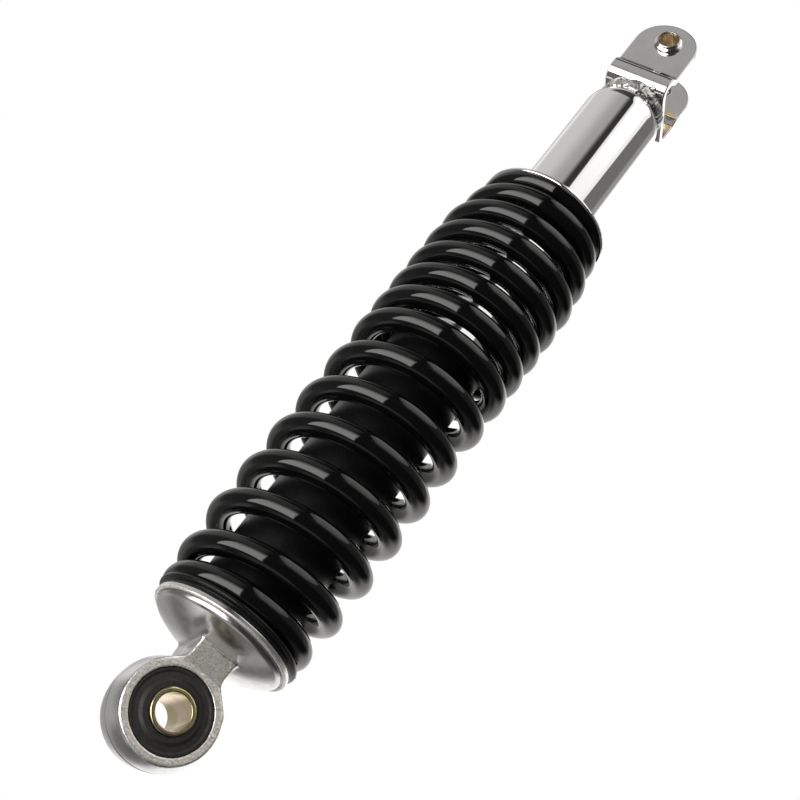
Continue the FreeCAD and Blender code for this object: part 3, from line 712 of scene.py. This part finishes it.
def upper_mount_casting():
    cell = 0.24
    margin = 0.7
    low = (-RIM_R - margin, -RIM_R - margin, FLANGE_LOW - margin)
    above_eye = 16.6
    high = (RIM_R + margin, RIM_R + margin, above_eye)
    points, faces = surface_of(casting_field(*grid_axes(low, high, cell)), low, cell)
    as_cast = (np.abs(points[:, 1]) > EYE_HALF - 0.5) & (points[:, 2] > -20.5)
    points = roughen(points, as_cast, 0.9, 0.05)
    points, faces = joined((to_world(points, *EYE), faces), casting_rim())
    make_piece("upper_mount_casting_finished", "upper_mount", points, faces,
               FINISH["cast_aluminium"], ROUGH_CASTING, replaces=["upper_mount_casting"],
               slot="cast_aluminium", which=is_rough)


# ---------------------------------------------------------------- spring
WIRE_R = 3.75
SPRING_MEAN_R = 22.05
SPRING_TURNS = 15.0
TIP_ANGLE = 520.0
CLOSED_PITCH = 7.6
OPEN_PITCH = 15.1
TIGHT_PITCH = 10.15
TIP_THICKNESS = 1.6
TOP_TAPER = (2.6, 2.5)           # in how many turns, and by how much
BOTTOM_TAPER = (3.1, 4.0)
SEAT_GAP = 0.05                  # keeps the ground end clear of its seat


def taper(distance, length, depth):
    """How far the coil is drawn in at a distance, in turns, from its tip."""
    if distance >= length:
        return 0.0
    return depth * math.sin(math.pi / 2 * (length - distance) / length) ** 2


def pitch(turn):
    """Pitch of the wire at a number of turns below the upper tip."""
    steps = ((0.0, CLOSED_PITCH), (1.0, CLOSED_PITCH), (1.5, OPEN_PITCH), (7.25, OPEN_PITCH),
             (7.75, TIGHT_PITCH), (13.9, TIGHT_PITCH), (14.1, CLOSED_PITCH),
             (SPRING_TURNS, CLOSED_PITCH))
    for (start, before), (end, after) in zip(steps, steps[1:]):
        if turn <= end:
            return before + (after - before) * (turn - start) / (end - start)
    return CLOSED_PITCH


def spring_line(low, high, per_turn=96):
    """Points along the middle of the wire, from the upper tip down."""
    count = int(SPRING_TURNS * per_turn)
    step = 1.0 / per_turn
    heights = [0.0]
    for k in range(count):
        heights.append(heights[-1] - pitch((k + 0.5) * step) * step)
    top = high - TIP_THICKNESS + WIRE_R
    bottom = low + TIP_THICKNESS - WIRE_R
    stretch = (top - bottom) / -heights[-1]
    points = []
    for k, fall in enumerate(heights):
        turn = k * step
        radius = SPRING_MEAN_R - taper(turn, *TOP_TAPER)
        radius -= taper(SPRING_TURNS - turn, *BOTTOM_TAPER)
        angle = math.radians(TIP_ANGLE - 360.0 * turn)
        points.append(Vector((radius * math.cos(angle), radius * math.sin(angle),
                              top + fall * stretch)))
    return points


def coil_spring():
    """The wire swept along its line, with both ends ground flat."""
    low, high = extents("coil_spring")
    line = spring_line(low, high)
    sides = 40
    points = []
    for k, centre in enumerate(line):
        ahead = line[min(k + 1, len(line) - 1)] - line[max(k - 1, 0)]
        out = Vector((centre.x, centre.y, 0)).normalized()
        up = ahead.cross(out).normalized()
        out = up.cross(ahead).normalized()
        for side in range(sides):
            angle = 2 * math.pi * side / sides
            p = centre + (out * math.cos(angle) + up * math.sin(angle)) * WIRE_R
            points.append((p.x, p.y, min(max(p.z, low + SEAT_GAP), high)))
    faces = []
    for k in range(len(line) - 1):
        for side in range(sides):
            after = (side + 1) % sides
            faces.append((k * sides + side, k * sides + after, (k + 1) * sides + after,
                          (k + 1) * sides + side))
    faces.append(tuple(reversed(range(sides))))
    faces.append(tuple((len(line) - 1) * sides + side for side in range(sides)))
    piece = make_piece("coil_spring_finished", "spring", to_world(points, *UPRIGHT), faces,
                       FINISH["black_enamel"], replaces=["coil_spring"], slot="black_enamel")
    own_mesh(piece)


# ---------------------------------------------------------------- cover, isolator, damper
def dust_cover():
    low, high = extents("dust_cover")
    r = radius_of("dust_cover")
    wall = 1.4
    plate = 1.5
    rod_hole = 5.2
    corners = [(rod_hole, high, 0.2), (r, high, 0.5), (r, low, 0.45), (r - wall, low, 0.45),
               (r - wall, high - plate, 0.5), (rod_hole, high - plate, 0.2)]
    finish_turned("dust_cover", "upper_mount", corners)


def spring_isolator():
    low, high = extents("spring_isolator")
    r = radius_of("spring_isolator")
    inner = 15.5
    corners = [(inner, low, 0.2), (r, low, 0.35), (r, low + 1.0, 0.4),
               (RIM_R - 0.5, low + 1.6, 0.2), (RIM_R - 0.5, high, 0.1), (inner, high, 0.1)]
    finish_turned("spring_isolator", "upper_mount", corners, material=MOULDED_RUBBER)


def damper_tube():
    low, high = extents("damper_tube")
    r = radius_of("damper_tube")
    wall = 1.36
    groove = extents("seat_retaining_ring")
    groove_r = r - 0.45
    mouth_r = 11.0
    lip = high - 1.2
    shoulder = -254.8
    foot_r = 11.0
    # the spun foot: a quarter of an ellipse that stops short of the horizontal
    foot = []
    steps = 10
    last = math.radians(66)
    for k in range(1, steps + 1):
        angle = last * k / steps
        share = (1 - math.cos(angle)) / (1 - math.cos(last))
        fall = math.sin(angle) / math.sin(last)
        foot.append((r - (r - foot_r) * share, shoulder - (shoulder - low) * fall, 0))
    corners = [(mouth_r, high, 0.3), (r, high, 0.7), (r, groove[1], 0.12),
               (groove_r, groove[1], 0.05), (groove_r, groove[0], 0.05),
               (r, groove[0], 0.12), (r, shoulder, 0)]
    corners += foot
    corners += [(x - wall, z, 0) for x, z, _ in reversed(foot)]
    corners += [(r - wall, shoulder, 0), (r - wall, lip, 0.3), (mouth_r, lip, 0.3)]
    finish_turned("damper_tube", "damper", corners)


def lower_spring_seat():
    low, high = extents("lower_spring_seat")
    r = radius_of("lower_spring_seat")
    inner = 13.61
    corners = [(inner, low, 0.3), (r - 1.4, low, 1.1), (r, low + 1.3, 0.9), (r, high - 0.5, 0.5),
               (r - 0.7, high, 0.3), (inner, high, 0.2)]
    finish_turned("lower_spring_seat", "damper", corners)


def seat_retaining_ring():
    """Split ring. Its gap is on the +X side."""
    low, high = extents("seat_retaining_ring")
    half_gap = math.radians(6.2)
    inner, outer = 13.16, 15.4
    corners = [(inner, low, 0.3), (outer, low, 0.5), (outer, high, 0.5), (inner, high, 0.3)]
    finish_turned("seat_retaining_ring", "damper", corners, start=half_gap,
                  span=2 * math.pi - 2 * half_gap)


# ---------------------------------------------------------------- clevis
EAR_HALF_WIDTH = 11.0
EAR_OFFSET = 0.4
EAR_THICKNESS = 2.6
NEAR_FACE = -8.3
NEAR_ROOT = -10.8
FAR_INNER = 13.5
FAR_STEP = 0.8
NEAR_TIP_CENTRE = 1.8
FAR_TIP_CENTRE = 4.4
BASE_TOP = extents("clevis_bracket")[1] - bore_z
COLLAR_FACE = -10.5
COLLAR_BORE_R = 3.5
COLLAR_SPIGOT_R = 4.6            # the near ear's hole
EARS_PARTED_AT = 3.0             # between the two ears, along the bolt


def filleted_line(corners, steps=8):
    """Open line through (y, z, rounding) corners, with each inner corner an arc."""
    line = [np.array(corners[0][:2], float)]
    for before, here, after in zip(corners, corners[1:], corners[2:]):
        a, p, b = (Vector(c[:2]) for c in (before, here, after))
        back = (a - p).normalized()
        on = (b - p).normalized()
        half = back.angle(on) / 2
        reach = here[2] / math.tan(half)
        centre = p + (back + on).normalized() * here[2] / math.sin(half)
        start = p + back * reach - centre
        sweep = start.angle_signed(p + on * reach - centre)
        for k in range(steps + 1):
            spot = centre + Matrix.Rotation(-sweep * k / steps, 2) @ start
            line.append(np.array(spot))
    line.append(np.array(corners[-1][:2], float))
    return line


def distance_to_line(y, z, line):
    """Distance in the YZ plane from each cell to an open line."""
    best = np.full(np.broadcast(y, z).shape, 1e9)
    for a, b in zip(line, line[1:]):
        run = b - a
        share = ((y - a[0]) * run[0] + (z - a[1]) * run[1]) / (run @ run)
        share = np.clip(share, 0, 1)
        best = np.minimum(best, np.hypot(y - a[0] - share * run[0], z - a[1] - share * run[1]))
    return best


def ear_outline(x, z, centre):
    """Distance to a half round tip with straight sides above it."""
    return np.hypot(x - EAR_OFFSET, np.minimum(z - centre, 0)) - EAR_HALF_WIDTH


def clevis_bracket():
    """U of pressed strip, with rounded edges and a joggle in each ear."""
    half = EAR_THICKNESS / 2
    bend = 4.6 - half
    crease = 2.2
    low_end = -14.0
    near = NEAR_FACE + half
    near_root = NEAR_ROOT + half
    far = FAR_INNER + half
    far_root = far + FAR_STEP
    line = filleted_line([(near, low_end, 0), (near, 14.3, crease), (near_root, 17.3, crease),
                          (near_root, BASE_TOP - half, bend), (far_root, BASE_TOP - half, bend),
                          (far_root, 13.6, crease), (far, 10.4, crease), (far, low_end, 0)])
    cell = 0.16
    margin = 0.6
    lowest = -10.2
    low = (EAR_OFFSET - EAR_HALF_WIDTH - margin, NEAR_ROOT - margin, lowest)
    high = (EAR_OFFSET + EAR_HALF_WIDTH + margin, far_root + half + margin, BASE_TOP + margin)
    x, y, z = grid_axes(low, high, cell)
    sheet = distance_to_line(y, z, line) - half
    tip = np.where(y < EARS_PARTED_AT, NEAR_TIP_CENTRE, FAR_TIP_CENTRE)
    body = round_max(sheet, ear_outline(x, z, tip), 0.38)
    bore = np.hypot(x, z)
    thread_r = mounts["clevis_thread"]["dims"]["r_mm"]
    hole = np.where(y < EARS_PARTED_AT, COLLAR_SPIGOT_R, thread_r)
    body = round_max(body, hole - bore, 0.2)
    points, faces = surface_of(body, low, cell)
    make_piece("clevis_bracket_finished", "damper",
               to_world(points, *UPRIGHT, (0, 0, bore_z)), faces, FINISH["chrome_bracket"],
               replaces=["clevis_bracket"], slot="chrome_bracket")


def clevis_collar():
    """Raised collar with a bright rounded rim."""
    spigot_r = COLLAR_SPIGOT_R - 0.05
    foot = NEAR_FACE + 0.02
    back = NEAR_FACE + EAR_THICKNESS
    corners = [(COLLAR_BORE_R, COLLAR_FACE, 0.1), (4.0, COLLAR_FACE, 0.3),
               (4.05, NEAR_FACE - 1.3, 0.2), (4.75, NEAR_FACE - 0.8, 0.25), (4.97, foot, 0.02),
               (spigot_r, foot, 0.02), (spigot_r, back, 0.1), (COLLAR_BORE_R, back, 0.1)]
    finish_turned("clevis_collar", "damper", corners, ON_BOLT, (0, 0, bore_z))


def collar_bush():
    """Bush in the collar, with a wider shoulder inside the ear."""
    bore_r = mounts["collar_bore"]["dims"]["r_mm"]
    low, high = (corner.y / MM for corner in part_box("collar_bush"))
    step = NEAR_FACE + EAR_THICKNESS
    outer_r = COLLAR_BORE_R - 0.05
    shoulder_r = 5.6
    corners = [(bore_r, low, 0.1), (3.42, low, 0.12), (outer_r, step, 0.05),
               (shoulder_r, step, 0.2), (shoulder_r, high, 0.5), (bore_r, high, 0.3)]
    finish_turned("collar_bush", "damper", corners, ON_BOLT, (0, 0, bore_z), DULL_ZINC)


def weld_spatter():
    """A small lump of weld on the bend of the near ear."""
    ball = bmesh.new()
    bmesh.ops.create_icosphere(ball, subdivisions=4, radius=1.0)
    middle = np.array([-6.0, -9.2, bore_z + 22.6])
    half_sizes = np.array([1.25, 0.95, 1.1])
    points = []
    for vert in ball.verts:
        swell = 1.0 + 0.25 * noise.noise(vert.co * 1.4)
        points.append(middle + np.array(vert.co) * swell * half_sizes)
    faces = [tuple(v.index for v in face.verts) for face in ball.faces]
    ball.free()
    return to_world(points, *UPRIGHT), faces


def clevis_weld_nut():
    """Hexagon nut with its corners turned off, and ridges of thread in its bore."""
    low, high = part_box("clevis_weld_nut")
    face, back = low.y / MM, high.y / MM
    flat = high.z / MM - bore_z
    bore_r = mounts["clevis_thread"]["dims"]["r_mm"]
    ridge_depth = 0.45
    mouth_depth = 0.3
    thread_pitch = 1.0
    sides = 192
    levels = [(face, 0.0), (back - 0.8, 0.0), (back - 0.5, 0.22), (back - 0.2, 0.6), (back, 1.0)]
    points = []
    for y, off in levels:
        for side in range(sides):
            angle = 2 * math.pi * side / sides
            folded = (angle % (math.pi / 3)) - math.pi / 6
            radius = flat / math.cos(folded)
            radius = min(radius, flat / math.cos(math.pi / 6) - 0.15 - 0.75 * off)
            points.append((radius * math.cos(angle), radius * math.sin(angle), y))
    steps = 48
    for k in range(steps + 1):
        y = back + (face - back) * k / steps
        for side in range(sides):
            angle = 2 * math.pi * side / sides
            ridge = abs((((y - face) / thread_pitch + side / sides) % 1.0) - 0.5) * 2
            at_mouth = k in (0, steps)
            radius = bore_r + (mouth_depth if at_mouth else ridge_depth * ridge)
            points.append((radius * math.cos(angle), radius * math.sin(angle), y))
    rows = len(levels) + steps + 1
    faces = []
    for row in range(rows):
        below = (row + 1) % rows
        for side in range(sides):
            on = (side + 1) % sides
            faces.append((row * sides + side, row * sides + on, below * sides + on,
                          below * sides + side))
    piece = make_piece("clevis_weld_nut_finished", "damper",
                       to_world(points, *ON_BOLT, (0, 0, bore_z)), faces,
                       FINISH["chrome_bracket"], replaces=["clevis_weld_nut"],
                       slot="chrome_bracket")
    piece.data.set_sharp_from_angle(angle=math.radians(35))


def clevis_weld_bead():
    """Plated weld: overlapping ripples that wander a little round the tube's foot."""
    base = BASE_TOP + bore_z
    rings, sides = 480, 36
    points = []
    for ring in range(rings):
        turn = 2 * math.pi * ring / rings
        way = Vector((math.cos(turn), math.sin(turn), 0))
        pace = turn * 17 + 3.4 * noise.noise(way * 2.6)
        ripple = abs(math.sin(pace)) * (0.6 + 0.9 * noise.noise(way * 4.1))
        swell = 0.42 * noise.noise(way * 2.2) + 0.2 * ripple
        for side in range(sides):
            around = 2 * math.pi * side / sides
            size = 1.6 + swell + 0.34 * noise.noise(way * 8 + Vector((0, 0, 2.2 * around)))
            radius = 10.4 + size * math.cos(around) * 0.85
            height = base + 2.2 + size * math.sin(around) * 1.65
            points.append((radius * way.x, radius * way.y, height))
    faces = []
    for ring in range(rings):
        after = (ring + 1) % rings
        for side in range(sides):
            up = (side + 1) % sides
            faces.append((ring * sides + side, after * sides + side, after * sides + up,
                          ring * sides + up))
    points, faces = joined((to_world(points, *UPRIGHT), faces), weld_spatter())
    make_piece("clevis_weld_bead_finished", "damper", points, faces,
               FINISH["weld"], replaces=["clevis_weld_bead"], slot="weld")


# ---------------------------------------------------------------- build
make_camera()
make_floor()
make_backdrop()
make_studio()
dress_cad_nodes()
for build in (eye_sleeve, eye_bush, upper_mount_casting, dust_cover, spring_isolator,
              coil_spring, damper_tube, lower_spring_seat, seat_retaining_ring,
              clevis_bracket, clevis_collar, collar_bush, clevis_weld_nut, clevis_weld_bead):
    build()

# ---------------------------------------------------------------- colour view
bpy.context.scene.view_settings.view_transform = "Standard"
